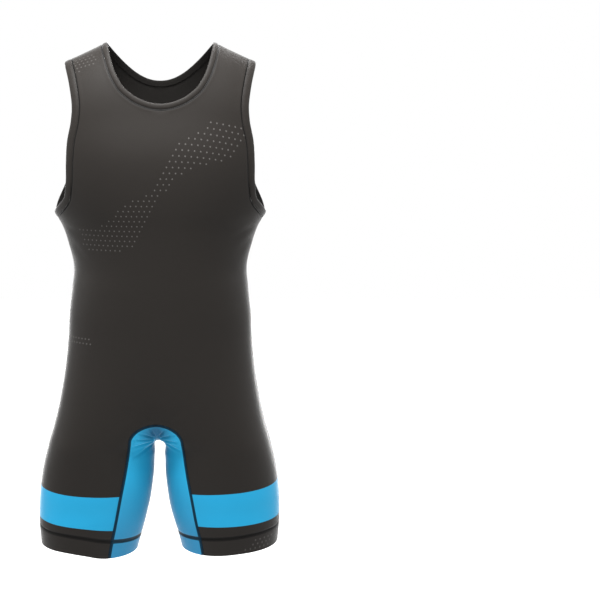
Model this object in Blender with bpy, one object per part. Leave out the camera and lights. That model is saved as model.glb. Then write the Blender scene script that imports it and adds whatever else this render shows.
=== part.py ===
# Sleeveless one-piece triathlon suit with short legs, filled out as if it were worn.
# Metres, +Z up; the front faces -Y and +X is the wearer's left. The origin lies midway between
# the neck corners of the two shoulders, where the wearer carries the suit.
# The whole suit is laid out as one smooth sheet with a line of vertices along every seam.
# Each panel is then cut out of that sheet and given the thickness of its cloth.

import math

import bmesh
import bpy
import numpy as np
from mathutils import Vector

# Cloth
CLOTH = 0.0016
HEM_CLOTH = 0.0026
BAND_CLOTH = 0.0022
BAND_RISE = 0.0004
SEAM_GAP = 0.0003

# Trim widths
NECK_BAND = 0.0098
ARMHOLE_BAND = 0.0138
HEM_DEPTH = 0.027
HEM_STEP = 0.001

# Shoulders: the ridge falls away from the neck corner, and the cloth rounds over it
NECK_CORNER = 0.1023
SHOULDER_END = 0.1555
SHOULDER_FALL = 0.46
SHOULDER_DEPTH = 0.125

# Level lines
UNDERARM_SEAM = -0.305
CHEST_ROW = -0.352
HIP_ROW = -0.650
HEM = -0.907

# Crotch: how softly the two legs run into each other across the centre plane
CROTCH_SOFTNESS = 0.012

# The cut of the legs leans a little to the wearer's right: sideways shift per unit of depth
LEG_LEAN = 0.09
LEG_LEAN_FROM = -0.34
LEG_LEAN_TO = -0.62

# Rows and columns of the sheet
ACROSS = 12
LEG_ROWS = 12
TORSO_ROWS = 11
CHEST_ROWS = 8
STRAP_ROWS = 9
INSEAM_ACROSS = 7
BAND_ACROSS = 2
FINE = 240

FRONT, BACK = -1, 1

# Level sections of the form that the suit keeps: height, half width, place of the widest point,
# depth before and behind it, middle of the leg (0 above the legs) and squareness
FORM_COLUMNS = ("z", "side", "side_y", "front", "back", "middle", "square")
FORM = (
    (0.060, 0.2050, 0.004, 0.070, 0.072, 0.0000, 2.60),
    (-0.040, 0.2060, 0.004, 0.084, 0.084, 0.0000, 2.70),
    (-0.120, 0.2070, 0.008, 0.104, 0.096, 0.0000, 2.75),
    (-0.200, 0.2060, 0.018, 0.130, 0.094, 0.0000, 2.65),
    (-0.255, 0.2025, 0.030, 0.144, 0.080, 0.0000, 2.50),
    (-0.290, 0.1925, 0.034, 0.146, 0.073, 0.0000, 2.40),
    (-0.320, 0.1765, 0.030, 0.139, 0.073, 0.0000, 2.30),
    (-0.350, 0.1660, 0.022, 0.129, 0.075, 0.0000, 2.25),
    (-0.390, 0.1565, 0.012, 0.117, 0.080, 0.0000, 2.25),
    (-0.430, 0.1595, 0.004, 0.108, 0.087, 0.0000, 2.25),
    (-0.470, 0.1640, 0.000, 0.103, 0.093, 0.0000, 2.25),
    (-0.520, 0.1665, -0.002, 0.100, 0.101, 0.0020, 2.25),
    (-0.570, 0.1715, -0.003, 0.098, 0.111, 0.0120, 2.30),
    (-0.620, 0.1795, -0.003, 0.097, 0.118, 0.0400, 2.35),
    (-0.660, 0.1880, -0.003, 0.096, 0.119, 0.0715, 2.35),
    (-0.690, 0.1960, -0.004, 0.095, 0.115, 0.0940, 2.30),
    (-0.708, 0.2015, -0.005, 0.094, 0.111, 0.1068, 2.25),
    (-0.735, 0.2085, -0.006, 0.093, 0.105, 0.1119, 2.20),
    (-0.770, 0.2155, -0.007, 0.092, 0.100, 0.1159, 2.18),
    (-0.800, 0.2190, -0.008, 0.091, 0.097, 0.1189, 2.15),
    (-0.825, 0.2205, -0.008, 0.090, 0.095, 0.1212, 2.12),
    (-0.850, 0.2210, -0.009, 0.089, 0.093, 0.1241, 2.10),
    (-0.880, 0.2208, -0.010, 0.087, 0.090, 0.1280, 2.08),
    (-0.905, 0.2185, -0.010, 0.086, 0.088, 0.1302, 2.05),
)

# Neck seam from the centre line to the shoulder ridge: half width, height
NECK_SEAM = {
    FRONT: (
        (0.0000, -0.1133),
        (0.0280, -0.1085),
        (0.0550, -0.0945),
        (0.0750, -0.0745),
        (0.0900, -0.0440),
        (NECK_CORNER, 0.0000),
    ),
    BACK: (
        (0.0000, -0.0680),
        (0.0250, -0.0640),
        (0.0480, -0.0525),
        (0.0720, -0.0330),
        (0.0890, -0.0155),
        (NECK_CORNER, 0.0000),
    ),
}
# Armhole seam between the shoulder ridge and the side seam: height, half width
ARMHOLE_SEAM = {
    FRONT: (
        (-0.070, 0.1440),
        (-0.110, 0.1390),
        (-0.135, 0.1410),
        (-0.168, 0.1480),
        (-0.205, 0.1510),
        (-0.243, 0.1530),
        (-0.275, 0.1600),
    ),
    BACK: (
        (-0.075, 0.1480),
        (-0.116, 0.1405),
        (-0.165, 0.1415),
        (-0.200, 0.1470),
        (-0.250, 0.1640),
    ),
}
# Inseam from the hem to the spring of the arch: height, half width
INSEAM = {
    FRONT: (
        (-0.905, 0.0838),
        (-0.856, 0.0740),
        (-0.795, 0.0627),
        (-0.760, 0.0560),
        (-0.724, 0.0502),
        (-0.698, 0.0466),
    ),
    BACK: (
        (-0.905, 0.0525),
        (-0.874, 0.0465),
        (-0.807, 0.0375),
        (-0.774, 0.0355),
        (-0.708, 0.0335),
    ),
}
ARCH_RISE = {FRONT: 0.0335, BACK: 0.0290}

# Rows of the chest end at the centre line and rows of the straps at the neck; the armhole is
# shared out between them at this height
ARMHOLE_SHARE = {FRONT: -0.150, BACK: -0.105}

# Pieces: name, cloth thickness, rise over the panels, colour, roughness
PIECES = (
    ("front_panel", CLOTH, 0.0, (0.030, 0.029, 0.028), 0.55),
    ("back_panel", CLOTH, 0.0, (0.030, 0.029, 0.028), 0.55),
    ("inseam_panel", CLOTH, 0.0, (0.026, 0.330, 0.650), 0.55),
    ("neck_band", BAND_CLOTH, BAND_RISE, (0.040, 0.038, 0.037), 0.60),
    ("armhole_band_left", BAND_CLOTH, BAND_RISE, (0.040, 0.038, 0.037), 0.60),
    ("armhole_band_right", BAND_CLOTH, BAND_RISE, (0.040, 0.038, 0.037), 0.60),
)
PANEL = {FRONT: 0, BACK: 1}
INSEAM_PIECE, NECK_PIECE, LEFT_PIECE, RIGHT_PIECE = 2, 3, 4, 5
WELD = 0.00002


def smooth_value(table, column, at):
    """Value of one column of a table for places in its first column, on a smooth curve."""
    rows = np.array(sorted(table))
    places, values = rows[:, 0], rows[:, column]
    slopes = np.gradient(values, places)
    at = np.clip(np.asarray(at, float), places[0], places[-1])
    k = np.clip(np.searchsorted(places, at) - 1, 0, len(places) - 2)
    step = places[k + 1] - places[k]
    t = (at - places[k]) / step
    rise = values[k + 1] - values[k]
    start = slopes[k] * step
    end = slopes[k + 1] * step
    return values[k] + t * start + t * t * (3 * rise - 2 * start - end) + t**3 * (start + end - 2 * rise)


def form(name, z):
    return smooth_value(FORM, FORM_COLUMNS.index(name), z)


def ridge(x):
    return -SHOULDER_FALL * (np.abs(x) - NECK_CORNER)


def side_x(z):
    return np.sqrt(form("side", z) ** 2 - CROTCH_SOFTNESS**2)


def shoulder_share(x, z, square):
    below = np.clip((ridge(x) - z) / SHOULDER_DEPTH, 0.0, 1.0)
    return 1.0 - (1.0 - below) ** square


def cloth_y(x, z, face):
    """Place of the cloth at half width x and height z, on the front or the back."""
    square = form("square", z)
    middle = form("middle", z)
    reach = np.sqrt(np.asarray(x) ** 2 + CROTCH_SOFTNESS**2)
    across = np.clip(np.abs(reach - middle) / (form("side", z) - middle), 0.0, 1.0)
    depth = form("front" if face == FRONT else "back", z)
    share = (1.0 - across**square) * shoulder_share(x, z, square)
    return form("side_y", z) + face * depth * share ** (1.0 / square)


def inner_x(y, z):
    """Half width of the cloth on the inner side of the leg."""
    square = form("square", z)
    middle = form("middle", z)
    off = y - form("side_y", z)
    depth = np.where(off < 0, form("front", z), form("back", z))
    along = np.clip(np.abs(off) / depth, 0.0, 1.0)
    reach = middle - (form("side", z) - middle) * (1.0 - along**square) ** (1.0 / square)
    return np.sqrt(np.maximum(reach**2 - CROTCH_SOFTNESS**2, 0.0))


def form_value(points):
    """Zero on the cloth, above zero outside it."""
    x, y, z = np.abs(points[:, 0]), points[:, 1], points[:, 2]
    square = form("square", z)
    middle = form("middle", z)
    off = y - form("side_y", z)
    depth = np.where(off < 0, form("front", z), form("back", z))
    reach = np.sqrt(x**2 + CROTCH_SOFTNESS**2)
    across = np.abs(reach - middle) / (form("side", z) - middle)
    below = np.minimum((ridge(x) - z) / SHOULDER_DEPTH, 1.0)
    share = 1.0 - np.abs(1.0 - below) ** square
    return (np.abs(off) / depth) ** square - share * (1.0 - across**square)


def form_slope(points):
    step = 0.0002
    return np.stack([
        (form_value(points + step * axis) - form_value(points - step * axis)) / (2 * step)
        for axis in np.eye(3)
    ], axis=1)


def onto_form(points):
    for _ in range(4):
        slope = form_slope(points)
        points = points - slope * (form_value(points) / (slope**2).sum(axis=1))[:, None]
    return points


def resample(points, places):
    """Points at the given shares, 0 to 1, of a line's length."""
    steps = np.linalg.norm(np.diff(points, axis=0), axis=1)
    length = np.concatenate([[0.0], np.cumsum(steps)])
    return np.stack([np.interp(np.asarray(places) * length[-1], length, points[:, i])
                     for i in range(points.shape[1])], axis=1)


def eased(start, end, count):
    """Values from start to end, close together at both ends."""
    share = (1.0 - np.cos(np.pi * np.linspace(0.0, 1.0, count))) / 2.0
    return start + (end - start) * share


def row(lateral, medial, face, bend):
    """A row of the sheet between two points given by half width and height; with a bend of 1 the
    row drops away steeply at its lateral end and ends level."""
    turn = np.linspace(0.0, math.pi / 2, FINE)
    across = 1.0 - np.cos(turn)
    z = lateral[1] + (medial[1] - lateral[1]) * (across + (np.sin(turn) - across) * bend)
    start, end = lateral[0] / side_x(lateral[1]), medial[0] / side_x(medial[1])
    x = (start + (end - start) * across) * side_x(z)
    line = np.stack([x, cloth_y(x, z, face), z], axis=1)
    return resample(line, np.linspace(0.0, 1.0, ACROSS + 1))


def ridge_row():
    """The shoulder seam, from the armhole to the neck."""
    x = np.linspace(SHOULDER_END, NECK_CORNER, ACROSS + 1)
    return np.stack([x, form("side_y", ridge(x)), ridge(x)], axis=1)


def hem_places(length):
    """Shares of a leg seam: the hem, a close pair at its stitch line, then even steps."""
    pair = [HEM_DEPTH - HEM_STEP, HEM_DEPTH + HEM_STEP]
    even = np.linspace(HEM_DEPTH + HEM_STEP, length, LEG_ROWS - 1)[1:]
    return np.concatenate([[0.0], pair, even]) / length


def inseam_line(face):
    """The inseam's seam, from the hem to the top of its arch."""
    table = INSEAM[face]
    spring, half = table[-1]
    z = np.linspace(HEM, spring, FINE)
    x = smooth_value(table, 1, z)
    turn = np.linspace(0.0, math.pi / 2, FINE)[1:]
    x = np.concatenate([x, half * np.cos(turn)])
    x[-1] = 0.0
    z = np.concatenate([z, spring + ARCH_RISE[face] * np.sin(turn)])
    line = np.stack([x, cloth_y(x, z, face), z], axis=1)
    length = np.linalg.norm(np.diff(line, axis=0), axis=1).sum()
    return resample(line, hem_places(length))


def neck_line(face):
    """The neck seam, from the centre line to the shoulder ridge."""
    table = NECK_SEAM[face]
    other_half = tuple((-x, z) for x, z in table[1:])
    x = eased(0.0, NECK_CORNER, 2 * FINE)
    z = smooth_value(table + other_half, 1, x)
    line = np.stack([x, cloth_y(x, z, face), z], axis=1)
    return resample(line, np.linspace(0.0, 1.0, STRAP_ROWS + 1))


def armhole_line(face):
    """The armhole seam, from the side seam to the shoulder ridge."""
    stations = ((ridge(SHOULDER_END), SHOULDER_END),) + ARMHOLE_SEAM[face]
    shares = tuple((z, x / side_x(z)) for z, x in stations) + ((UNDERARM_SEAM, 1.0),)
    z = eased(UNDERARM_SEAM, ridge(SHOULDER_END), 3 * FINE)
    x = np.minimum(smooth_value(shares, 1, z), 1.0) * side_x(z)
    line = np.stack([x, cloth_y(x, z, face), z], axis=1)
    low = line[z <= ARMHOLE_SHARE[face]]
    high = line[z >= low[-1, 2]]
    return np.concatenate([
        resample(low, np.linspace(0.0, 1.0, CHEST_ROWS + 1))[:-1],
        resample(high, np.linspace(0.0, 1.0, STRAP_ROWS + 1)),
    ])


def panel_rows(face):
    """Rows of half a panel, from the hem to the shoulder ridge."""
    inseam = inseam_line(face)
    side = HEM + hem_places(HIP_ROW - HEM) * (HIP_ROW - HEM)
    rows = [row((side_x(z), z), (m[0], m[2]), face, 1.0) for z, m in zip(side, inseam)]
    share = np.linspace(0.0, 1.0, TORSO_ROWS + 1)[1:]
    lateral = HIP_ROW + (UNDERARM_SEAM - HIP_ROW) * share
    medial = inseam[-1, 2] + (CHEST_ROW - inseam[-1, 2]) * share
    rows += [row((side_x(z), z), (0.0, m), face, 1.0) for z, m in zip(lateral, medial)]
    armhole = armhole_line(face)
    neck = neck_line(face)
    centre = np.linspace(CHEST_ROW, neck[0, 2], CHEST_ROWS + 1)[1:]
    ends = [(0.0, z) for z in centre] + [(m[0], m[2]) for m in neck[1:-1]]
    bends = np.concatenate([np.linspace(1.0, 0.0, CHEST_ROWS + 1)[1:], np.zeros(STRAP_ROWS)])
    rows += [row((l[0], l[2]), m, face, b) for l, m, b in zip(armhole[1:], ends, bends)]
    rows.append(ridge_row())
    return np.array(rows), armhole, neck, inseam


def crotch_line():
    """The cloth's line in the centre plane, from the front arch under the crotch to the back arch."""
    halves = []
    for face in (FRONT, BACK):
        top = INSEAM[face][-1][0] + ARCH_RISE[face]
        low, high = -0.80, top
        for _ in range(60):
            middle = (low + high) / 2
            parted = float(form("middle", middle) * 2 - form("side", middle)) > CROTCH_SOFTNESS
            low, high = (middle, high) if parted else (low, middle)
        z = top + (high - top) * np.sin(np.linspace(0.0, math.pi / 2, FINE))
        y = cloth_y(np.zeros(FINE), z, face)
        y[-1] = form("side_y", high)
        halves.append(np.stack([y, z], axis=1))
    line = np.concatenate([halves[0], halves[1][::-1][1:]])
    return resample(line, np.linspace(0.0, 1.0, INSEAM_ACROSS + 1))


def inseam_rows(front, back):
    """Rows of half the inseam panel, worked out in the side view between its four edges."""
    t = np.linspace(0.0, 1.0, INSEAM_ACROSS + 1)[:, None]
    y = eased(front[0, 1], back[0, 1], FINE)
    z = np.full(FINE, HEM)
    bottom = resample(np.stack([inner_x(y, z), y, z], axis=1), t[:, 0])[:, 1:]
    top = crotch_line()
    rows = []
    for a, b in zip(front[:, 1:], back[:, 1:]):
        up = (a[1] - HEM) / (front[-1, 2] - HEM) * (1 - t) + (b[1] - HEM) / (back[-1, 2] - HEM) * t
        edges = (1 - up) * bottom + up * top + (1 - t) * a + t * b
        corners = (1 - up) * ((1 - t) * bottom[0] + t * bottom[-1]) + up * ((1 - t) * top[0] + t * top[-1])
        place = edges - corners
        rows.append(np.concatenate([inner_x(place[:, :1], place[:, 1:]), place], axis=1))
    rows = np.array(rows)
    rows[:, 0], rows[:, -1] = front, back
    rows[-1, :, 0] = 0.0
    return rows


def band_rows(seam, width, closed, outwards):
    """A band along a seam, following the form for the width of the band."""
    along = np.roll(seam, -1, axis=0) - np.roll(seam, 1, axis=0)
    if not closed:
        along[0] = (1.0, 0.0, 0.0)
        along[-1] = (-1.0, 0.0, 0.0)
    facing = form_slope(seam)
    across = np.cross(facing, along)
    across /= np.linalg.norm(across, axis=1)[:, None]
    across *= outwards
    rows = [seam]
    for k in range(1, BAND_ACROSS + 1):
        rows.append(onto_form(seam + across * width * k / BAND_ACROSS))
    return np.array(rows)


def add_grid(sheet, grid, piece, side):
    """Faces between the rows of a grid, on the wearer's left (side 1) or right (side -1)."""
    verts = [[sheet.verts.new((side * x, y, z)) for x, y, z in line] for line in grid]
    for low, high in zip(verts, verts[1:]):
        for k in range(len(low) - 1):
            sheet.faces.new((low[k], low[k + 1], high[k + 1], high[k])).material_index = piece


def lean_legs(sheet):
    for vert in sheet.verts:
        share = (vert.co.z - LEG_LEAN_FROM) / (LEG_LEAN_TO - LEG_LEAN_FROM)
        share = min(max(share, 0.0), 1.0)
        vert.co.x += LEG_LEAN * share * share * (3 - 2 * share) * vert.co.y


def whole_sheet():
    """The suit as one sheet; each face's material index says which piece it belongs to."""
    sheet = bmesh.new()
    grids = {face: panel_rows(face) for face in (FRONT, BACK)}
    inseam = inseam_rows(grids[FRONT][3], grids[BACK][3])
    front_hole, back_hole = grids[FRONT][1], grids[BACK][1]
    armhole = np.concatenate([front_hole, back_hole[::-1][1:-1]])
    armhole_band = band_rows(armhole, ARMHOLE_BAND, True, -1)
    armhole_band = np.concatenate([armhole_band, armhole_band[:, :1]], axis=1)
    neck = np.concatenate([grids[FRONT][2], grids[BACK][2][::-1][1:]])
    neck_band = band_rows(neck, NECK_BAND, False, 1)
    neck_band[:, 0, 0] = neck_band[:, -1, 0] = 0.0
    for side, hole in ((1, LEFT_PIECE), (-1, RIGHT_PIECE)):
        for face in (FRONT, BACK):
            add_grid(sheet, grids[face][0], PANEL[face], side)
        add_grid(sheet, inseam, INSEAM_PIECE, side)
        add_grid(sheet, armhole_band, hole, side)
        add_grid(sheet, neck_band, NECK_PIECE, side)
    bmesh.ops.remove_doubles(sheet, verts=sheet.verts, dist=WELD)
    bmesh.ops.recalc_face_normals(sheet, faces=sheet.faces)
    frontmost = min(sheet.faces, key=lambda face: face.calc_center_median().y)
    if frontmost.normal.y > 0:
        bmesh.ops.reverse_faces(sheet, faces=sheet.faces)
    lean_legs(sheet)
    sheet.normal_update()
    return sheet


def seam_pull(vert, own_faces):
    """Move that draws a seam's vertex back from the seam by half the gap."""
    pulls = []
    for edge in vert.link_edges:
        own = [face for face in edge.link_faces if face in own_faces]
        if len(own) == 1 and len(edge.link_faces) == 2:
            line = (edge.verts[1].co - edge.verts[0].co).normalized()
            pull = own[0].normal.cross(line)
            inside = own[0].calc_center_median() - edge.verts[0].co
            pulls.append(pull if pull.dot(inside) > 0 else -pull)
    if not pulls:
        return Vector()
    if len(pulls) == 1:
        return pulls[0] * SEAM_GAP / 2
    return (pulls[0] + pulls[1]) / (1 + pulls[0].dot(pulls[1])) * SEAM_GAP / 2


def cut_out(sheet, piece, name, cloth, rise):
    """One panel or band as a closed wall, its outer side on the sheet."""
    own_faces = {face for face in sheet.faces if face.material_index == piece}
    wall = bmesh.new()
    outer, inner = {}, {}
    for vert in sheet.verts:
        if own_faces.isdisjoint(vert.link_faces):
            continue
        place = vert.co + seam_pull(vert, own_faces)
        thick = HEM_CLOTH if vert.co.z < HEM + HEM_DEPTH else cloth
        outer[vert] = wall.verts.new(place + vert.normal * rise)
        inner[vert] = wall.verts.new(place + vert.normal * (rise - thick))
    for face in own_faces:
        wall.faces.new([outer[vert] for vert in face.verts])
        wall.faces.new([inner[vert] for vert in reversed(face.verts)])
        for loop in face.loops:
            if sum(other in own_faces for other in loop.edge.link_faces) == 1:
                a, b = loop.vert, loop.link_loop_next.vert
                wall.faces.new((outer[b], outer[a], inner[a], inner[b]))
    mesh = bpy.data.meshes.new(name)
    wall.to_mesh(mesh)
    wall.free()
    mesh.shade_smooth()
    mesh.set_sharp_from_angle(angle=math.radians(40))
    return mesh


def cloth_material(name, colour, roughness):
    material = bpy.data.materials.new(name)
    material.use_nodes = True
    shader = material.node_tree.nodes["Principled BSDF"]
    shader.inputs["Base Color"].default_value = (*colour, 1.0)
    shader.inputs["Roughness"].default_value = roughness
    shader.inputs["Metallic"].default_value = 0.0
    return material


def main():
    for item in list(bpy.data.objects):
        bpy.data.objects.remove(item)
    sheet = whole_sheet()
    for piece, (name, cloth, rise, colour, roughness) in enumerate(PIECES):
        mesh = cut_out(sheet, piece, name, cloth, rise)
        mesh.materials.append(cloth_material(name + "_cloth", colour, roughness))
        bpy.context.collection.objects.link(bpy.data.objects.new(name, mesh))
    sheet.free()


main()
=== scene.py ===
import math

import bmesh
import bpy
import numpy as np
from mathutils import Matrix, Vector
from mathutils.kdtree import KDTree


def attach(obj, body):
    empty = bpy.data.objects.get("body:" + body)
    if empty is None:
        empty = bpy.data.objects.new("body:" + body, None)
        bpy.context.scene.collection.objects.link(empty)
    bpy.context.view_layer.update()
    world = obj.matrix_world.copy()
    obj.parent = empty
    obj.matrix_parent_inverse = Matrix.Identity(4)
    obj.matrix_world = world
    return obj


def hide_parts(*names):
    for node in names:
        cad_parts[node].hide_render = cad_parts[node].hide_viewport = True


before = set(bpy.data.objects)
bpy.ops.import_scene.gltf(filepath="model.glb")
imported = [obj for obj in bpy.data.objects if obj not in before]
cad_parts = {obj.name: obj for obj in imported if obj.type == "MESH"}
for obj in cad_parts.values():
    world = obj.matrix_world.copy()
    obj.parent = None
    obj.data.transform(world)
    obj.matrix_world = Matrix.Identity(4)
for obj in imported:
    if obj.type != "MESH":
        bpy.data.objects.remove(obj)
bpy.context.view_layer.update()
front, back = -1, 1
left, right = 1, -1  # the wearer's
mirrorImage = np.array((-1.0, 1.0, 1.0))

# The worn form and the cut, in the measures that the solids are built to (metres)
suit = {
    "neckCorner": 0.1023,  # half width at the neck end of the shoulder seam
    "shoulderEnd": 0.1555,  # half width at its armhole end
    "shoulderFall": 0.46,  # how steeply the shoulder seam falls
    "shoulderDepth": 0.125,  # the height over which the cloth rounds over the shoulder
    "between": -0.8,  # a height at which the legs are apart
    "underarm": -0.305,
    "chestRow": -0.352,
    "hipRow": -0.65,
    "hem": -0.907,
    "crotchSoftness": 0.012,  # how softly the legs run into each other
    "legLean": 0.09,  # sideways shift of the legs per unit of depth
    "leanFrom": -0.34,
    "leanTo": -0.62,
    "armholeShare": {front: -0.15, back: -0.105},
    "archRise": {front: 0.0335, back: 0.029},
}

# Level sections: height, half width, place of the widest point, depth before and behind it,
# middle of the leg and squareness
formColumns = ("z", "side", "sideY", "front", "back", "middle", "square")
formTable = (
    (0.06, 0.205, 0.004, 0.07, 0.072, 0.0, 2.6),
    (-0.04, 0.206, 0.004, 0.084, 0.084, 0.0, 2.7),
    (-0.12, 0.207, 0.008, 0.104, 0.096, 0.0, 2.75),
    (-0.2, 0.206, 0.018, 0.13, 0.094, 0.0, 2.65),
    (-0.255, 0.2025, 0.03, 0.144, 0.08, 0.0, 2.5),
    (-0.29, 0.1925, 0.034, 0.146, 0.073, 0.0, 2.4),
    (-0.32, 0.1765, 0.03, 0.139, 0.073, 0.0, 2.3),
    (-0.35, 0.166, 0.022, 0.129, 0.075, 0.0, 2.25),
    (-0.39, 0.1565, 0.012, 0.117, 0.08, 0.0, 2.25),
    (-0.43, 0.1595, 0.004, 0.108, 0.087, 0.0, 2.25),
    (-0.47, 0.164, 0.0, 0.103, 0.093, 0.0, 2.25),
    (-0.52, 0.1665, -0.002, 0.1, 0.101, 0.002, 2.25),
    (-0.57, 0.1715, -0.003, 0.098, 0.111, 0.012, 2.3),
    (-0.62, 0.1795, -0.003, 0.097, 0.118, 0.04, 2.35),
    (-0.66, 0.188, -0.003, 0.096, 0.119, 0.0715, 2.35),
    (-0.69, 0.196, -0.004, 0.095, 0.115, 0.094, 2.3),
    (-0.708, 0.2015, -0.005, 0.094, 0.111, 0.1068, 2.25),
    (-0.735, 0.2085, -0.006, 0.093, 0.105, 0.1119, 2.2),
    (-0.77, 0.2155, -0.007, 0.092, 0.1, 0.1159, 2.18),
    (-0.8, 0.219, -0.008, 0.091, 0.097, 0.1189, 2.15),
    (-0.825, 0.2205, -0.008, 0.09, 0.095, 0.1212, 2.12),
    (-0.85, 0.221, -0.009, 0.089, 0.093, 0.1241, 2.1),
    (-0.88, 0.2208, -0.01, 0.087, 0.09, 0.128, 2.08),
    (-0.905, 0.2185, -0.01, 0.086, 0.088, 0.1302, 2.05),
)

# Seam lines of the cut. Neck: half width, height
neckSeam = {
    front: ((0.0, -0.1133), (0.028, -0.1085), (0.055, -0.0945), (0.075, -0.0745), (0.09, -0.044),
            (suit["neckCorner"], 0.0)),
    back: ((0.0, -0.068), (0.025, -0.064), (0.048, -0.0525), (0.072, -0.033), (0.089, -0.0155),
           (suit["neckCorner"], 0.0)),
}
# Armhole and inseam: height, half width
armholeSeam = {
    front: ((-0.07, 0.144), (-0.11, 0.139), (-0.135, 0.141), (-0.168, 0.148), (-0.205, 0.151),
            (-0.243, 0.153), (-0.275, 0.16)),
    back: ((-0.075, 0.148), (-0.116, 0.1405), (-0.165, 0.1415), (-0.2, 0.147), (-0.25, 0.164)),
}
inseamSeam = {
    front: ((-0.905, 0.0838), (-0.856, 0.074), (-0.795, 0.0627), (-0.76, 0.056), (-0.724, 0.0502),
            (-0.698, 0.0466)),
    back: ((-0.905, 0.0525), (-0.874, 0.0465), (-0.807, 0.0375), (-0.774, 0.0355), (-0.708, 0.0335)),
}

# How finely the cloth is laid out
layout = {
    "fine": 400,  # points that a line is measured with
    "seamStep": 0.0008,  # from point to point of a seam line
    "across": 46,  # even columns of half a panel, between its seams
    "legs": 80,
    "torso": 60,
    "chest": 44,
    "straps": 36,
    "gussetAcross": 84,
    "gussetLegs": (44, 0.19, 96),  # even rows up to this length, and closer ones from there to the crotch
    "bandStep": 0.0022,
    "besideSeam": (0.0, 0.0006, 0.0013, 0.0022, 0.0034, 0.005, 0.0075, 0.011),
    "mirrorMerge": 0.00002,
    "merge": 0.000004,
}
quarterTurn = np.linspace(0, math.pi / 2, layout["fine"])


def smoothValue(table, column, at):
    rows = np.array(sorted(table))
    places, values = rows[:, 0], rows[:, column]
    slopes = np.gradient(values, places)
    at = np.clip(np.asarray(at, float), places[0], places[-1])
    k = np.clip(np.searchsorted(places, at) - 1, 0, len(places) - 2)
    step = places[k + 1] - places[k]
    t = (at - places[k]) / step
    rise = values[k + 1] - values[k]
    start, end = slopes[k] * step, slopes[k + 1] * step
    return values[k] + t * start + t * t * (3 * rise - 2 * start - end) + t**3 * (start + end - 2 * rise)


def formAt(name, z):
    return smoothValue(formTable, formColumns.index(name), z)


def sectionAt(z):  # every measure of the level section at a height
    return [formAt(name, z) for name in formColumns[1:]]


def ridgeAt(x):  # height of the shoulder seam
    return -suit["shoulderFall"] * (np.abs(x) - suit["neckCorner"])


def sideX(z):
    return np.sqrt(formAt("side", z) ** 2 - suit["crotchSoftness"] ** 2)


def clothY(x, z, face):  # depth of the cloth at a half width and height
    side, sideY, ahead, behind, middle, square = sectionAt(z)
    reach = np.sqrt(np.asarray(x) ** 2 + suit["crotchSoftness"] ** 2)
    across = np.clip(np.abs(reach - middle) / (side - middle), 0, 1)
    below = np.clip((ridgeAt(x) - z) / suit["shoulderDepth"], 0, 1)
    share = (1 - across**square) * (1 - (1 - below) ** square)
    return sideY + face * (ahead if face == front else behind) * share ** (1 / square)


def innerX(y, z):  # half width of the cloth on the inner side of the leg
    side, sideY, ahead, behind, middle, square = sectionAt(z)
    along = np.clip(np.abs(y - sideY) / np.where(y < sideY, ahead, behind), 0, 1)
    reach = middle - (side - middle) * (1 - along**square) ** (1 / square)
    return np.sqrt(np.maximum(reach**2 - suit["crotchSoftness"] ** 2, 0.0))


def formValue(points):  # zero on the cloth, above zero outside it
    x, y, z = np.abs(points[:, 0]), points[:, 1], points[:, 2]
    side, sideY, ahead, behind, middle, square = sectionAt(z)
    depth = np.where(y < sideY, ahead, behind)
    across = np.abs(np.sqrt(x**2 + suit["crotchSoftness"] ** 2) - middle) / (side - middle)
    below = np.minimum((ridgeAt(x) - z) / suit["shoulderDepth"], 1.0)
    share = 1 - np.abs(1 - below) ** square
    return (np.abs(y - sideY) / depth) ** square - share * (1 - across**square)


def formSlope(points):
    step = 0.0002
    return np.stack([(formValue(points + step * axis) - formValue(points - step * axis)) / (2 * step)
                     for axis in np.eye(3)], axis=1)


def unit(vectors):
    return vectors / np.maximum(np.linalg.norm(vectors, axis=-1, keepdims=True), 1e-12)


def ontoForm(points):  # a few steps down the slope bring them there
    for _ in range(4):
        slope = formSlope(points)
        points = points - slope * (formValue(points) / (slope**2).sum(axis=1))[:, None]
    return points


def lengths(line):
    return np.concatenate([[0.0], np.cumsum(np.linalg.norm(np.diff(line, axis=0), axis=1))])


def resample(line, places):  # points at the given lengths along a line
    along = lengths(line)
    return np.stack([np.interp(places, along, line[:, i]) for i in range(line.shape[1])], axis=1)


def joined(first, second):  # along the first line, and from the end that it shares with the second back
    return np.concatenate([first, second[-2::-1]])


def waves(turn, table):  # sines of the given sizes, rates and shifts, added up
    return sum(size * np.sin(turn * rate + shift) for size, rate, shift in table)


def eased(start, end, count):  # values close together at both ends
    return start + (end - start) * (1 - np.cos(np.pi * np.linspace(0, 1, count))) / 2.0


def betweenSeams(length, count, bothEnds=True):  # places close together beside the seams
    near = np.array(layout["besideSeam"])
    start = near[-1] if bothEnds else 0.0
    middle = np.linspace(start, length - near[-1], count)
    return np.concatenate([near[:-1] if bothEnds else [], middle, (length - near[:-1])[::-1]])


def laidOut(line, count, bothEnds=True):
    return resample(line, betweenSeams(lengths(line)[-1], count, bothEnds))


def onCloth(x, z, face):
    return np.stack([x, clothY(x, z, face), z], axis=1)


def clothRow(lateral, medial, face, bend):
    across = 1 - np.cos(quarterTurn)
    z = lateral[1] + (medial[1] - lateral[1]) * (across + (np.sin(quarterTurn) - across) * bend)
    start, end = lateral[0] / sideX(lateral[1]), medial[0] / sideX(medial[1])
    line = onCloth((start + (end - start) * across) * sideX(z), z, face)
    return laidOut(line, layout["across"])


def ridgeLine():  # the shoulder seam
    x = np.linspace(suit["shoulderEnd"], suit["neckCorner"], layout["fine"])
    line = np.stack([x, formAt("sideY", ridgeAt(x)), ridgeAt(x)], axis=1)
    return laidOut(line, layout["across"])


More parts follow.
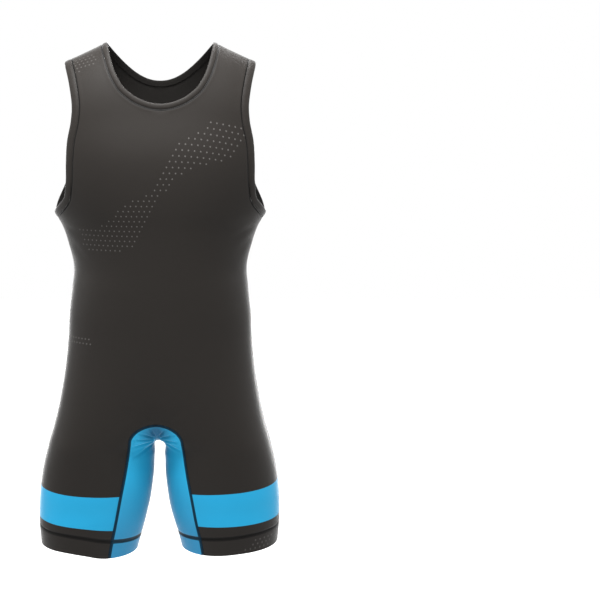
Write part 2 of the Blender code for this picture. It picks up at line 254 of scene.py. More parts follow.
hem = {
    "depth": 0.027,  # from the edge to the stitch line
    "fold": 0.0008,  # half the gap between the two layers
    "turned": (0.026, 0.019, 0.012, 0.006, 0.0026),  # heights of the inner layer's rows
    "foldTurns": (180, 135, 90, 45),  # degrees
    "rows": (0.0008, 0.0015, 0.0026, 0.0042, 0.006, 0.009, 0.012, 0.0155, 0.019, 0.022, 0.0242, 0.0255,
             0.026, 0.027, 0.028, 0.029, 0.0304, 0.0325, 0.036, 0.041),
}


def legPlaces(length):
    return np.concatenate([hem["rows"], np.linspace(hem["rows"][-1], length, layout["legs"])[1:]])


def gussetPlaces(length):
    count, upTo, above = layout["gussetLegs"]
    return np.concatenate([hem["rows"], np.linspace(hem["rows"][-1], upTo, count)[1:],
                           np.linspace(upTo, length, above)[1:]])


def inseamLine(face, places=legPlaces):  # from the hem to the top of the arch
    spring, half = inseamSeam[face][-1]
    z = np.linspace(suit["hem"], spring, layout["fine"])
    turn = quarterTurn[1:]
    x = np.concatenate([smoothValue(inseamSeam[face], 1, z), half * np.cos(turn)])
    x[-1] = 0.0
    z = np.concatenate([z, spring + suit["archRise"][face] * np.sin(turn)])
    line = onCloth(x, z, face)
    return resample(line, places(lengths(line)[-1]))


def neckLine(face):  # from the centre to the shoulder seam
    table = neckSeam[face]
    x = eased(0.0, suit["neckCorner"], 2 * layout["fine"])
    z = smoothValue(table + tuple((-x, z) for x, z in table[1:]), 1, x)
    return laidOut(onCloth(x, z, face), layout["straps"], False)


def armholeLine(face):  # from the side seam to the shoulder seam
    top = ridgeAt(suit["shoulderEnd"])
    stations = ((top, suit["shoulderEnd"]),) + armholeSeam[face]
    shares = tuple((z, x / sideX(z)) for z, x in stations) + ((suit["underarm"], 1.0),)
    z = eased(suit["underarm"], top, 3 * layout["fine"])
    line = onCloth(np.minimum(smoothValue(shares, 1, z), 1.0) * sideX(z), z, face)
    low = line[z <= suit["armholeShare"][face]]
    high = line[z >= low[-1, 2]]
    lowPlaces = np.linspace(0.0, lengths(low)[-1], layout["chest"] + 1)[:-1]
    return np.concatenate([resample(low, lowPlaces), laidOut(high, layout["straps"], False)])


def panelRows(face):  # half a panel, row by row from the hem to the shoulder
    inseam = inseamLine(face)
    sides = suit["hem"] + legPlaces(suit["hipRow"] - suit["hem"])
    rows = [clothRow((sideX(z), z), (m[0], m[2]), face, 1.0) for z, m in zip(sides, inseam)]
    share = np.linspace(0, 1, layout["torso"] + 1)[1:]
    laterals = suit["hipRow"] + (suit["underarm"] - suit["hipRow"]) * share
    medials = inseam[-1, 2] + (suit["chestRow"] - inseam[-1, 2]) * share
    rows += [clothRow((sideX(z), z), (0.0, m), face, 1.0) for z, m in zip(laterals, medials)]
    armhole, neck = armholeLine(face), neckLine(face)
    centre = np.linspace(suit["chestRow"], neck[0, 2], layout["chest"] + 1)[1:]
    ends = [(0.0, z) for z in centre] + [(m[0], m[2]) for m in neck[1:-1]]
    bends = np.concatenate([np.linspace(1.0, 0.0, layout["chest"] + 1)[1:], np.zeros(len(neck))])
    rows += [clothRow((a[0], a[2]), m, face, b) for a, m, b in zip(armhole[1:], ends, bends)]
    return np.array(rows + [ridgeLine()])


def crotchLine():  # in the centre plane, from the front arch under to the back arch
    halves = []
    for face in (front, back):
        top = inseamSeam[face][-1][0] + suit["archRise"][face]
        low, high = suit["between"], top
        for _ in range(60):  # halves the stretch in which the legs part
            middle = (low + high) / 2
            parted = 2 * formAt("middle", middle) - formAt("side", middle) > suit["crotchSoftness"]
            low, high = (middle, high) if parted else (low, middle)
        z = top + (high - top) * np.sin(quarterTurn)
        y = clothY(np.zeros(layout["fine"]), z, face)
        y[-1] = formAt("sideY", high)
        halves.append(np.stack([y, z], axis=1))
    return joined(*halves)


def gussetRows():  # half the gusset, in the side view between its four edges
    ahead, behind = inseamLine(front, gussetPlaces), inseamLine(back, gussetPlaces)
    y = eased(ahead[0, 1], behind[0, 1], layout["fine"])
    z = np.full(layout["fine"], ahead[0, 2])
    bottomLine = np.stack([innerX(y, z), y, z], axis=1)
    places = betweenSeams(lengths(bottomLine)[-1], layout["gussetAcross"])
    t = (places / places[-1])[:, None]
    bottom = resample(bottomLine, places)[:, 1:]
    topLine = crotchLine()
    top = resample(topLine, t[:, 0] * lengths(topLine)[-1])
    foot = ahead[0, 2]
    rows = []
    for a, b in zip(ahead[:, 1:], behind[:, 1:]):
        up = (a[1] - foot) / (ahead[-1, 2] - foot) * (1 - t) + (b[1] - foot) / (behind[-1, 2] - foot) * t
        edges = (1 - up) * bottom + up * top + (1 - t) * a + t * b
        corners = (1 - up) * ((1 - t) * bottom[0] + t * bottom[-1]) + up * ((1 - t) * top[0] + t * top[-1])
        place = edges - corners
        rows.append(np.concatenate([innerX(place[:, :1], place[:, 1:]), place], axis=1))
    rows = np.array(rows)
    rows[:, 0], rows[:, -1] = ahead, behind
    rows[-1, :, 0] = 0.0
    return rows


def turnedUp(rows):  # adds the hem's inner layer and its fold below the first row
    heights = suit["hem"] + np.array(hem["turned"])
    layer = []
    for height in heights:
        k = int(np.argmin(np.abs(rows[:, 0, 2] - height)))
        layer.append(rows[k] - unit(formSlope(rows[k])) * 2 * hem["fold"])
    normal = unit(formSlope(rows[0]))
    for turn in np.radians(hem["foldTurns"]):
        out = -(1 - math.cos(turn)) * hem["fold"]
        layer.append(rows[0] + normal * out - np.array([0, 0, math.sin(turn) * hem["fold"]]))
    return np.concatenate([np.array(layer), rows])


def evenly(line, step=layout["seamStep"]):
    total = lengths(line)[-1]
    return resample(line, np.linspace(0.0, total, int(total / step) + 2))


def sideLine():
    z = np.linspace(suit["hem"], suit["underarm"], 5 * layout["fine"])
    return np.stack([sideX(z), formAt("sideY", z), z], axis=1)


def atStitchLine(line, column):  # where a line crosses the hem's stitches
    return float(np.interp(suit["hem"] + hem["depth"], line[:, 2], line[:, column]))


def hemLine(face):  # along the hem's stitches, from the side seam to the inseam
    z = np.full(3 * layout["fine"], suit["hem"] + hem["depth"])
    return onCloth(eased(float(sideX(z[0])), atStitchLine(inseamLine(face), 0), len(z)), z, face)


def gussetHemLine():
    z = np.full(3 * layout["fine"], suit["hem"] + hem["depth"])
    y = eased(atStitchLine(inseamLine(front), 1), atStitchLine(inseamLine(back), 1), len(z))
    return np.stack([innerX(y, z), y, z], axis=1)


# Seams, as lines on the form for the wearer's left; the right ones are their mirror
seams = {
    "armhole": evenly(joined(armholeLine(front), armholeLine(back))),
    "neck": evenly(joined(neckLine(front), neckLine(back))),
    "inseamFront": evenly(inseamLine(front)),
    "inseamBack": evenly(inseamLine(back)),
    "side": evenly(sideLine()),
    "shoulder": evenly(ridgeLine()),
    "hemFront": evenly(hemLine(front)),
    "hemBack": evenly(hemLine(back)),
    "hemGusset": evenly(gussetHemLine()),
}
seamKinds = {
    "bound": ("armhole", "neck"),
    "flatlock": ("inseamFront", "inseamBack", "side", "shoulder"),
    "hemmed": ("hemFront", "hemBack", "hemGusset"),
}
# How the cloth lies along each kind of seam (metres): depth and width of its dip; height, place and width of
# the swell beside it; size, pitch and reach of the puckers; what its dark line, of thread and painted groove
# shade, loses in width
seamRelief = {
    "bound": (0.00045, 0.0016, 0.00022, 0.0046, 0.0026, 0.0001, 0.0088, 0.0075, 0.0004),
    "flatlock": (0.0003, 0.0026, 0.00022, 0.0056, 0.0028, 0.00007, 0.0105, 0.009, 0.0),
    "hemmed": (0.00095, 0.0025, 0.0002, 0.005, 0.0026, 0.00012, 0.0095, 0.008, -0.0008),
}


def seamDistance(points, kind):  # how far the nearest seam of a kind is, and where along it
    away = np.full(len(points), 1.0)
    along = np.zeros(len(points))
    mirrored = points.copy()
    mirrored[:, 0] = np.abs(mirrored[:, 0])
    for name in seamKinds[kind]:
        line, run = seams[name], lengths(seams[name])
        tree = KDTree(len(line))
        for i, place in enumerate(line):
            tree.insert(place, i)
        tree.balance()
        nearest = np.array([tree.find(place)[1] for place in mirrored])
        for step in (-1, 0):
            a = np.clip(nearest + step, 0, len(line) - 2)
            edge = line[a + 1] - line[a]
            t = np.clip(((mirrored - line[a]) * edge).sum(1) / np.maximum((edge**2).sum(1), 1e-14), 0, 1)
            far = np.linalg.norm(mirrored - line[a] - t[:, None] * edge, axis=1)
            closer = far < away
            away[closer] = far[closer]
            along[closer] = run[a[closer]] + t[closer] * (run[a[closer] + 1] - run[a[closer]])
    return away, along


# Soft creases: face, start and end as (x, height), depth, width. The gusset's gather under the arch
creases = {
    "gusset": (
        (front, (0.003, -0.69), (0.018, -0.67), 0.0018, 0.0028),
        (front, (0.006, -0.693), (0.036, -0.68), 0.0024, 0.003),
        (front, (0.008, -0.699), (0.045, -0.696), 0.0026, 0.0028),
        (front, (0.01, -0.706), (0.046, -0.714), 0.0018, 0.0034),
        (front, (-0.002, -0.689), (-0.012, -0.669), 0.0016, 0.0026),
        (front, (-0.005, -0.692), (-0.032, -0.677), 0.0025, 0.0028),
        (front, (-0.008, -0.697), (-0.044, -0.69), 0.0028, 0.0028),
        (front, (-0.01, -0.704), (-0.047, -0.706), 0.0022, 0.0032),
        (front, (-0.012, -0.713), (-0.046, -0.729), 0.0014, 0.004),
        (back, (0.003, -0.696), (0.02, -0.686), 0.0016, 0.003),
        (back, (0.007, -0.702), (0.031, -0.702), 0.0022, 0.003),
        (back, (0.01, -0.71), (0.033, -0.719), 0.0016, 0.0036),
        (back, (-0.003, -0.697), (-0.018, -0.685), 0.0017, 0.003),
        (back, (-0.007, -0.703), (-0.031, -0.699), 0.0022, 0.003),
        (back, (-0.01, -0.711), (-0.033, -0.716), 0.0017, 0.0036),
    ),
    "panels": (
        (front, (0.16, -0.318), (0.118, -0.338), 0.0007, 0.0075),
        (front, (0.163, -0.336), (0.128, -0.366), 0.0006, 0.0085),
        (front, (-0.162, -0.32), (-0.112, -0.336), 0.0006, 0.008),
        (front, (-0.158, -0.344), (-0.126, -0.374), 0.0007, 0.008),
        (front, (0.02, -0.655), (0.06, -0.626), 0.0006, 0.009),
        (front, (-0.026, -0.652), (-0.07, -0.63), 0.0006, 0.0085),
        (back, (0.158, -0.398), (0.112, -0.41), 0.0008, 0.009),
        (back, (-0.157, -0.404), (-0.12, -0.42), 0.0007, 0.0085),
        (back, (0.162, -0.455), (0.126, -0.446), 0.0006, 0.008),
        (back, (0.018, -0.664), (0.062, -0.64), 0.0008, 0.0085),
        (back, (-0.02, -0.662), (-0.058, -0.634), 0.0009, 0.009),
        (back, (0.03, -0.69), (0.085, -0.688), 0.0006, 0.008),
    ),
}


creaseForm = {
    "start": 0.3,  # how far into its rise a crease begins, in half turns
    "run": 0.68,  # half turns from its start to its end
    "beside": 1.3,  # how much the cloth stands up beside it
    "sideFade": 0.02,  # it fades this near to the side line
}


def creaseRelief(points, table):
    relief = np.zeros(len(points))
    seen = points[:, (0, 2)]  # as seen from the front or the back
    for face, start, end, depth, width in table:
        start, edge = np.array(start), np.array(end) - np.array(start)
        t = ((seen - start) @ edge) / (edge @ edge)
        away = (np.linalg.norm(seen - start - np.clip(t, 0, 1)[:, None] * edge, axis=1) / width) ** 2
        fade = np.clip(np.sin(np.pi * np.clip(creaseForm["start"] + creaseForm["run"] * t, 0, 1)), 0, 1)
        side = np.clip((points[:, 1] - formAt("sideY", points[:, 2])) * face / creaseForm["sideFade"], 0, 1)
        relief -= depth * (1 - creaseForm["beside"] * away) * np.exp(-away) * fade * side
    return relief


puckers = {
    "waves": ((1.0, 1.0, 0.0), (0.6, 0.43, 1.3), (0.4, 1.71, 0.4)),  # size, rate and shift
    "calm": 1.4,  # none nearer to the seam than about this many dip widths
    "offMiddle": 0.012,  # they fade this near to the middle line
}


def seamShape(points):  # the dips, swells and puckers of every seam
    relief = np.zeros(len(points))
    offMiddle = np.clip(np.abs(points[:, 0]) / puckers["offMiddle"], 0, 1) ** 2
    for kind, (dip, width, swell, swellAt, swellWidth, pucker, pitch, reach, _) in seamRelief.items():
        away, along = seamDistance(points, kind)
        wave = waves(2 * math.pi * along / pitch, puckers["waves"])
        calm = 1 - np.exp(-((away / (puckers["calm"] * width)) ** 2))
        relief -= dip * np.exp(-((away / width) ** 2))
        relief += swell * np.exp(-(((away - swellAt) / swellWidth) ** 2))
        relief += pucker * wave * calm * offMiddle * np.exp(-away / reach)
    return relief


# The hems rise towards the outer side, each leg's in its own way: half width, and the rise there of the edge
# and of the stitch line
hemRise = {
    left: ((0.035, 0.002, 0.004), (0.078, 0.0029, 0.0082), (0.118, 0.0054, 0.0113),
           (0.152, 0.0083, 0.0145), (0.187, 0.0096, 0.0178), (0.222, 0.01, 0.0192)),
    right: ((0.035, -0.006, -0.005), (0.068, -0.0044, 0.0008), (0.099, -0.0012, 0.0068),
            (0.124, 0.0046, 0.0122), (0.157, 0.0091, 0.0162), (0.19, 0.0099, 0.0182),
            (0.222, 0.01, 0.0204)),
}
hemTilt = {
    "backDrop": 0.006,  # how much lower the hems lie at the back
    "dropFrom": -0.02,
    "dropTo": 0.05,
    "calm": -0.838,  # above this height nothing moves
}


def softStep(share):
    share = np.clip(share, 0, 1)
    return share * share * (3 - 2 * share)


def leaned(points):  # shifts the legs sideways with their depth and tilts the hems
    points = points.copy()
    x, y, z = points.T.copy()
    backward = (y - hemTilt["dropFrom"]) / (hemTilt["dropTo"] - hemTilt["dropFrom"])
    drop = hemTilt["backDrop"] * softStep(backward)
    edge, stitchLine = [
        np.where(x > 0, smoothValue(hemRise[left], column, x),
                 smoothValue(hemRise[right], column, -x)) - drop
        for column in (1, 2)
    ]
    atStitches = suit["hem"] + hem["depth"]
    edgeShare = np.clip((atStitches - z) / hem["depth"], 0, 1)
    above = np.clip((hemTilt["calm"] - z) / (hemTilt["calm"] - atStitches), 0, 1)
    stitchShare = np.where(z < atStitches, 1 - edgeShare, above)
    lean = softStep((z - suit["leanFrom"]) / (suit["leanTo"] - suit["leanFrom"]))
    points[:, 0] += suit["legLean"] * lean * y
    points[:, 2] += edge * edgeShare + stitchLine * stitchShare
    return points


flatCut = {
    "steps": 25,  # that a level section is measured in
    "shoulderSteps": 60,
    "shoulderRound": 0.095,  # depth and squareness of the round over the shoulder
    "shoulderSquare": 2.7,
}


def cutPlace(points):  # where a point lies on the flat cut: way round from the centre, and height
    x, y, z = np.abs(points[:, 0]), points[:, 1], points[:, 2]
    side, sideY, ahead, behind, middle, square = sectionAt(z)
    depth = np.where(y < sideY, ahead, behind)
    top = np.clip((x - middle) / (side - middle), 0, 1)
    part = np.sin(np.linspace(0, 1, flatCut["steps"])[:, None] * np.arcsin(top))
    run = np.hypot(np.diff(part * (side - middle), axis=0),
                   np.diff(depth * (1 - part**square) ** (1 / square), axis=0)).sum(0)
    around = np.where(x > middle, middle + run, x)
    down, bend = np.linspace(0, 1, flatCut["shoulderSteps"]), flatCut["shoulderSquare"]
    over = flatCut["shoulderRound"] * (1 - (1 - down) ** bend) ** (1 / bend)
    arc = lengths(np.stack([suit["shoulderDepth"] * down, over], axis=1))
    below = np.clip((ridgeAt(x) - z) / suit["shoulderDepth"], 0, 1)
    extra = arc[-1] - np.interp(below, down, arc) - suit["shoulderDepth"] * (1 - below)
    return np.sign(points[:, 0]) * around, z + extra


# The print is stretched with the cloth, by this much at each height, and its rows droop at the sides
printed = {
    "stretch": ((-0.92, 0.95), (-0.66, 1.0), (-0.52, 0.88), (-0.45, 0.85), (-0.35, 0.82),
                (-0.29, 0.84), (-0.22, 0.96), (-0.16, 1.0), (0.08, 1.0)),
    "levels": (-0.95, 0.1, 2000),  # lowest, highest and how many
    "droop": 0.85,
    "droopFrom": -0.27,
    "droopTo": -0.2,
}


def printPlace(around, height):
    levels = np.linspace(*printed["levels"])
    stretch = np.interp(levels, *np.array(printed["stretch"]).T)
    run = np.concatenate([[0.0], np.cumsum(np.diff(levels) / stretch[1:])])
    run -= np.interp(0, levels, run)
    share = np.clip((height - printed["droopFrom"]) / (printed["droopTo"] - printed["droopFrom"]), 0, 1)
    level = height + printed["droop"] * share * around**2
    return around / np.interp(height, levels, stretch), np.interp(level, levels, run)


def meshFrom(name, shape):
    mesh = bpy.data.meshes.new(name)
    shape.to_mesh(mesh)
    shape.free()
    return mesh


def newObject(name, data):
    made = bpy.data.objects.new(name, data)
    bpy.context.collection.objects.link(made)
    return made


def clothMesh(name, rows, mirrored):
    grid = bmesh.new()
    bmesh.ops.create_grid(grid, x_segments=rows.shape[1] - 1, y_segments=rows.shape[0] - 1, size=1.0)
    grid.verts.ensure_lookup_table()
    for vert, place in zip(grid.verts, rows.reshape(-1, 3)):
        vert.co = place
    if mirrored:
        everything = grid.verts[:] + grid.edges[:] + grid.faces[:]
        bmesh.ops.mirror(grid, geom=everything, axis="X", merge_dist=layout["mirrorMerge"])
    bmesh.ops.remove_doubles(grid, verts=grid.verts, dist=layout["merge"])
    bmesh.ops.recalc_face_normals(grid, faces=grid.faces)
    for edge in grid.edges:  # keeps the shading of a cut edge off the cloth beside it
        edge.smooth = not edge.is_boundary
    return meshFrom(name, grid)


def vectorsOf(mesh, kind="co"):  # every point's place, or its normal
    values = np.zeros(len(mesh.vertices) * 3)
    mesh.vertices.foreach_get(kind, values)
    return values.reshape(-1, 3)


def faceOut(mesh, outer):  # turns the faces so that the outer layer looks outwards
    mesh.update()
    if (vectorsOf(mesh, "normal") * formSlope(vectorsOf(mesh)))[outer].sum() < 0:
        mesh.flip_normals()


def finishCloth(mesh, materials, thick, creased=None):
    points = vectorsOf(mesh)
    normals = unit(formSlope(points))
    near = np.min([seamDistance(points, kind)[0] + look[-1] for kind, look in seamRelief.items()], axis=0)
    around, height = cutPlace(points)
    if creased:
        points += normals * (seamShape(points) + creaseRelief(points, creases[creased]))[:, None]
    mesh.vertices.foreach_set("co", leaned(points).ravel())
    mesh.attributes.new("seamAway", "FLOAT", "POINT").data.foreach_set("value", near.astype(np.float32))
    corners = np.zeros(len(mesh.loops), np.int32)
    mesh.loops.foreach_get("vertex_index", corners)
    for layer, (across, up) in (("cut", (around, height)), ("print", printPlace(around, height))):
        uv = np.stack([across[corners], up[corners]], axis=1).astype(np.float32)
        mesh.uv_layers.new(name=layer).data.foreach_set("uv", uv.ravel())
    mesh.update()
    mesh.shade_smooth()
    piece = newObject(mesh.name, mesh)
    for material in materials:
        mesh.materials.append(material)
    wall = piece.modifiers.new("wall", "SOLIDIFY")
    wall.thickness = thick
    wall.offset = -1.0
    wall.material_offset = len(materials) - 1
    wall.material_offset_rim = len(materials) - 1
    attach(piece, "root")
    return piece


# Shader maths
class Socket:  # a node's output that sums can be written with
    def __init__(self, tree, link):
        self.tree, self.link = tree, link

    def sum(self, operation, *values):
        return self.tree.node("ShaderNodeMath", {"operation": operation}, dict(enumerate(values)))

    def __add__(self, other):
        return self.sum("ADD", self, other)

    __radd__ = __add__

    def __sub__(self, other):
        return self.sum("SUBTRACT", self, other)

    def __rsub__(self, other):
        return self.sum("SUBTRACT", other, self)

    def __mul__(self, other):
        return self.sum("MULTIPLY", self, other)

    __rmul__ = __mul__

    def __truediv__(self, other):
        return self.sum("DIVIDE", self, other)

    def __lt__(self, other):
        return self.sum("LESS_THAN", self, other)

    def __gt__(self, other):
        return self.sum("GREATER_THAN", self, other)

    def __abs__(self):
        return self.sum("ABSOLUTE", self)

    def floor(self):
        return self.sum("FLOOR", self)

    def sine(self):
        return self.sum("SINE", self)

    def root(self):
        return self.sum("SQRT", self)

    def clamped(self):  # kept between 0 and 1
        return self.sum("MINIMUM", self.sum("MAXIMUM", self, 0.0), 1.0)


class Finish:  # a material and the one method that adds its nodes
    def __init__(self, name, constants):
        self.material = bpy.data.materials.new(name)
        self.material.use_nodes = True
        self.tree = self.material.node_tree
        self.surface = self.tree.nodes["Principled BSDF"]
        for socket, value in constants.items():
            self.surface.inputs[socket].default_value = value

    def node(self, kind, settings, values, output=0):
        made = self.tree.nodes.new(kind)
        for setting, value in settings.items():
            if setting == "stops":
                self.setStops(made.color_ramp.elements, value)
            else:
                setattr(made, setting, value)
        for socket, value in values.items():
            self.feed(made.inputs[socket], value)
        return Socket(self, made.outputs[output])

    def setStops(self, marks, stops):  # greys at the given places, even between them
        while len(marks) < len(stops):
            marks.new(0.5)
        for mark, (place, grey) in zip(marks, stops):
            mark.position = place
            mark.color = (grey, grey, grey, 1.0)

    def feed(self, socket, value):
        if isinstance(value, Socket):
            self.tree.links.new(value.link, socket)
        else:
            socket.default_value = value

    def parts(self, vector):  # the three numbers of a vector
        first = self.node("ShaderNodeSeparateXYZ", {}, {0: vector})
        return [Socket(self, output) for output in first.link.node.outputs]

    def mixed(self, share, low, high, blend="MIX"):
        return self.node("ShaderNodeMix", {"data_type": "RGBA", "blend_type": blend},
                         {0: share, 6: low, 7: high}, 2)

    def place(self):  # Object coordinates
        return self.node("ShaderNodeTexCoord", {}, {}, 3)

    def noise(self, scale, detail):
        return self.node("ShaderNodeTexNoise", {}, {"Vector": self.place(), "Scale": scale, "Detail": detail})

    def measure(self, name):
        return self.node("ShaderNodeAttribute", {"attribute_name": name}, {}, 2)

    def bump(self, height, strength, distance, under=None):
        values = {"Height": height, "Strength": strength, "Distance": distance}
        if under is not None:
            values["Normal"] = under
        return self.node("ShaderNodeBump", {}, values)


knit = {
    "charcoal": (0.0098, 0.0084, 0.0073, 1.0),
    "backCharcoal": (0.0078, 0.0068, 0.006, 1.0),
    "inside": (0.0075, 0.0068, 0.0062, 1.0),
    "blue": (0.009, 0.199, 0.354, 1.0),
    "backBlue": (0.0075, 0.165, 0.308, 1.0),
    "bandBlue": (0.006, 0.128, 0.24, 1.0),
    "gussetBlue": (0.012, 0.225, 0.39, 1.0),
    "gussetLow": (0.016, 0.145, 0.27, 1.0),
    # painted shade of the gathers under the arch
    "gussetFoldShade": (0.01, 0.068, 0.135, 1.0),
    "blueInside": (0.01, 0.2, 0.42, 1.0),
    "cover": (0.0016, 0.0015, 0.0014, 1.0),  # the dark seam line: covering thread, and painted groove shade along hems and binding seams
    "thread": (0.003, 0.0027, 0.0024, 1.0),
    "threadLight": (0.008, 0.0071, 0.0064, 1.0),
    "inseamThread": (0.0026, 0.02, 0.04, 1.0),
    "inseamThreadLight": (0.0055, 0.04, 0.075, 1.0),
    "dotGrey": (0.125, 0.121, 0.115, 1.0),
    "roughness": 0.56,
    "specular": 0.08,
    "sheen": 0.5,
    "innerSheen": 0.36,
    "bindingSheen": 0.38,
    "sheenRoughness": 0.24,
    "rib": 0.00062,  # from one knitted rib to the next
    "course": 0.0005,
    "courseWave": 1.2,  # how much the ribs bend the courses
    "relief": (0.5, 0.35),  # of the ribs and of the courses
    "fineBump": (0.22, 0.0001),  # strength and distance
    "softBump": (0.1, 0.0016),
    "softNoise": (38.0, 3.0),  # scale and detail
    "cloudNoise": (7.0, 3.0),
    "cloudShare": 0.5,
    "cloudTint": (0.82, 0.82, 0.83, 1.0),
    "unevenNoise": (60.0, 2.0),
    "uneven": 0.1,  # how much the roughness varies
    "threadAndShadeWidth": 0.003,  # half width of the dark line of thread and painted groove shade at a flatlock seam
    "threadAndShadeSoft": 0.0006,
    "threadAndShadeShare": 0.88,
}

# The blue bands of the print: colour, side (0 for both), lower and upper edge on the middle line, each with
# its rise to the sides
bands = {
    front: (("blue", left, -0.8522, 0.012, -0.793, 0.052), ("blue", right, -0.8615, 0.042, -0.7974, 0.046)),
    back: (("backBlue", 0, -0.8715, 0.125, -0.812, 0.115), ("bandBlue", 0, -0.3935, 0.0, -0.3385, 0.0)),
}

# The dots, and the outline of each of their patches in the print's own measures, from the top down: height,
# edge on the wearer's right and edge on the wearer's left
dots = {"radius": 0.00135, "soft": 0.0008, "reach": 0.32}  # the ramps hold edges up to this reach
dotRepeat = {  # from dot to dot, from row to row, and strength, in each patch
    front: ((0.0107, 0.0103, 0.34), (0.0072, 0.0081, 0.18), (0.0092, 0.00946, 0.4),
            (0.0102, 0.005995, 0.26)),
    back: ((0.0093, 0.0098, 0.34),) * 4,
}
dotPatches = {
    front: (
        ((-0.122, 0.094, 0.101), (-0.13, 0.084, 0.152), (-0.147, 0.064, 0.152), (-0.166, 0.036, 0.131),
         (-0.186, 0.014, 0.12), (-0.204, 0.012, 0.076), (-0.216, 0.006, 0.048), (-0.236, -0.002, 0.026),
         (-0.246, -0.01, 0.02), (-0.256, -0.024, 0.01), (-0.267, -0.032, -0.002), (-0.277, -0.07, -0.009),
         (-0.289, -0.089, -0.013), (-0.3, -0.095, -0.019), (-0.322, -0.114, -0.031), (-0.333, -0.184, -0.037),
         (-0.355, -0.18, -0.048), (-0.367, -0.178, -0.054), (-0.379, -0.168, -0.084)),
        ((0.006, -0.152, -0.116), (-0.004, -0.154, -0.112), (-0.011, -0.156, -0.108),
         (-0.021, -0.156, -0.112), (-0.027, -0.152, -0.136), (-0.03, -0.152, -0.136)),
        ((-0.558, -0.202, -0.138), (-0.568, -0.2, -0.138), (-0.577, -0.2, -0.134)),
        ((-0.953, 0.184, 0.232), (-0.959, 0.182, 0.23), (-0.965, 0.174, 0.226), (-0.971, 0.16, 0.222)),
    ),
    back: (
        ((-0.04, 0.06, 0.078), (-0.053, 0.055, 0.098), (-0.062, 0.053, 0.1), (-0.071, 0.061, 0.112),
         (-0.081, 0.072, 0.118), (-0.095, 0.078, 0.14), (-0.109, 0.095, 0.147), (-0.118, 0.107, 0.148),
         (-0.127, 0.112, 0.152), (-0.137, 0.112, 0.14), (-0.146, 0.113, 0.135), (-0.156, 0.11, 0.136),
         (-0.165, 0.115, 0.148), (-0.176, 0.122, 0.15), (-0.188, 0.138, 0.158)),
        ((-0.164, -0.031, -0.012), (-0.177, -0.036, 0.01), (-0.187, -0.032, 0.028), (-0.197, -0.028, 0.053),
         (-0.208, -0.022, 0.08), (-0.219, 0.03, 0.104), (-0.23, 0.034, 0.121), (-0.242, 0.03, 0.131),
         (-0.258, 0.022, 0.141), (-0.272, 0.06, 0.158), (-0.284, 0.081, 0.168), (-0.298, 0.138, 0.18),
         (-0.31, 0.15, 0.188), (-0.322, 0.165, 0.186)),
        ((-0.345, -0.19, -0.075), (-0.354, -0.19, -0.075)),
        ((-0.482, 0.094, 0.13), (-0.49, 0.088, 0.16), (-0.503, 0.07, 0.168), (-0.513, 0.056, 0.098),
         (-0.527, 0.044, 0.082), (-0.537, 0.03, 0.067), (-0.546, -0.006, 0.052), (-0.551, -0.095, 0.048),
         (-0.569, -0.098, 0.034)),
    ),
}


def dotMask(finish, face):
    around, height, _ = finish.parts(finish.node("ShaderNodeUVMap", {"uv_map": "print"}, {}))
    mask, reach = 0.0, 2 * dots["reach"]
    for (pitch, rowStep, strength), patch in zip(dotRepeat[face], dotPatches[face]):
        row = (height / rowStep).floor()
        shift = (row * 0.5 - (row * 0.5).floor()) * pitch  # every second row lies half a step on
        dotAround = (((around - shift) / pitch).floor() + 0.5) * pitch + shift
        dotHeight = (row + 0.5) * rowStep
        off, up = around - dotAround, height - dotHeight
        dot = ((dots["radius"] - (off * off + up * up).root()) / dots["soft"] + 0.5).clamped()
        top, bottom = patch[0][0], patch[-1][0]
        share = (dotHeight - bottom) / (top - bottom)
        edges = []
        for column in (1, 2):  # the ramps hold the edges as greys
            stops = [((level[0] - bottom) / (top - bottom), level[column] / reach + 0.5)
                     for level in reversed(patch)]
            edges.append((finish.node("ShaderNodeValToRGB", {"stops": stops}, {0: share}) - 0.5) * reach)
        inside = (share > 0.0) * (share < 1.0) * (dotAround > edges[0]) * (dotAround < edges[1])
        mask = dot * inside * strength + mask
    return mask.clamped()


def bandMask(height, around, side, low, lowRise, high, highRise):
    mask = (height - abs(around) * lowRise > low) * (height - abs(around) * highRise < high)
    return mask * (around * side > 0.0) if side else mask


